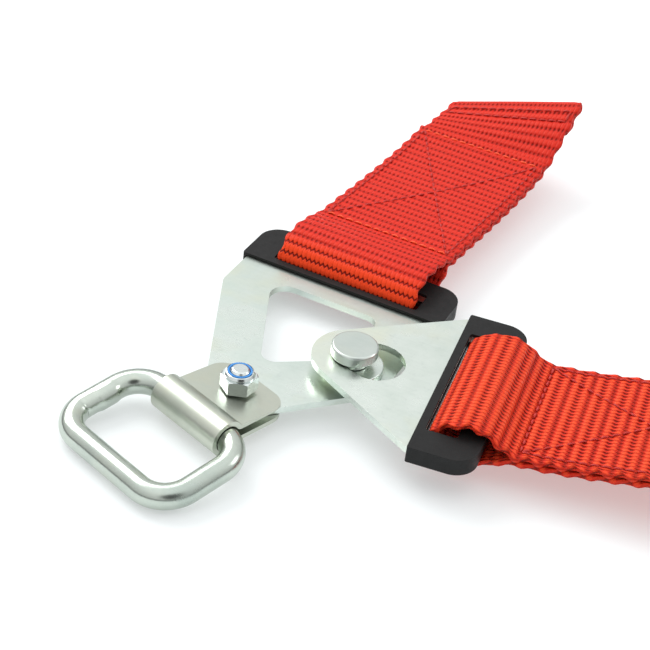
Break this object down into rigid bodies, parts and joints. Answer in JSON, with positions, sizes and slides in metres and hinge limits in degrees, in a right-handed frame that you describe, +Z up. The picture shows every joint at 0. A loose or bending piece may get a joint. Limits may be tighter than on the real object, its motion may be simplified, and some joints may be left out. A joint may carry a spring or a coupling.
{
  "type": "racing harness quick release",
  "caption": "Keyhole tongue hooked on a headed stud joins two sewn webbing straps; a swivelling bracket carries a ring for a third strap.",
  "frame": {"origin": "bottom centre of the bounding box, on the surface it lies on", "axes": "+X along the main plate's edge guard, towards the tongue strap; +Y from the main plate towards the main strap; +Z up, square to the plates"},
  "size_m": [0.3048, 0.2518, 0.0315],
  "materials": {
    "zinc_plate": "bright zinc plated pressed steel",
    "bright_zinc": "bright zinc plated, mirror-like",
    "satin_zinc": "satin zinc plated, faint yellow-green tint",
    "blue_nylon": "moulded nylon locking ring",
    "black_plastic": "fine-grained charcoal moulding",
    "red_webbing": "ribbed polyester harness webbing",
    "red_thread": "bonded polyester thread"
  },
  "bodies": {
    "main_body": {"main_plate": "zinc_plate", "main_edge_guard": "black_plastic", "locking_stud": "bright_zinc", "stud_washer": "zinc_plate", "bracket_bolt": "bright_zinc", "bracket_washer": "zinc_plate", "lock_nut": "bright_zinc", "nylon_insert": "blue_nylon"},
    "bracket": {"ring_bracket": "satin_zinc"},
    "ring": {"webbing_ring": "bright_zinc"},
    "collar": {"stud_collar": "zinc_plate"},
    "tongue": {"tongue_plate": "zinc_plate", "tongue_edge_guard": "black_plastic"},
    "tongue_webbing": {"tongue_strap": "red_webbing", "tongue_box_stitch": "red_thread", "tongue_end_stitch": "red_thread"},
    "anchor": {"anchor_tab": "zinc_plate"},
    "main_webbing": {"main_strap": "red_webbing", "main_box_stitch": "red_thread", "main_hem_stitch": "red_thread"}
  },
  "joints": [
    {"name": "bracket_swivel", "type": "hinge", "parent": "main_body", "child": "bracket", "pos_m": [-0.11162, -0.07241, 0.0086], "axis": [0, 0, 1], "range_deg": [-35, 20]},
    {"name": "ring_swing", "type": "hinge", "parent": "bracket", "child": "ring", "pos_m": [-0.11708, -0.08782, 0.0075], "axis": [-0.9426, 0.3338, 0], "range_deg": [-140, 140]},
    {"name": "tongue_turn", "type": "hinge", "parent": "main_body", "child": "collar", "pos_m": [-0.08772, -0.04351, 0.0086], "axis": [0, 0, 1], "range_deg": [-55, 12]},
    {"name": "tongue_release", "type": "slide", "parent": "collar", "child": "tongue", "axis": [-0.9907, -0.1357, 0], "range_m": [0, 0.00693]},
    {"name": "tongue_strap_hinge", "type": "hinge", "parent": "tongue", "child": "tongue_webbing", "pos_m": [-0.04442, -0.03758, 0.01275], "axis": [0.1357, -0.9907, 0], "range_deg": [-75, 75]},
    {"name": "anchor_swing", "type": "hinge", "parent": "tongue_webbing", "child": "anchor", "pos_m": [0.1049, -0.00915, 0.0073], "axis": [0.1357, -0.9907, 0], "range_deg": [-60, 60]},
    {"name": "main_strap_hinge", "type": "hinge", "parent": "main_body", "child": "main_webbing", "pos_m": [-0.10972, 0.00899, 0.00705], "axis": [1, 0, 0], "range_deg": [-75, 75]}
  ]
}
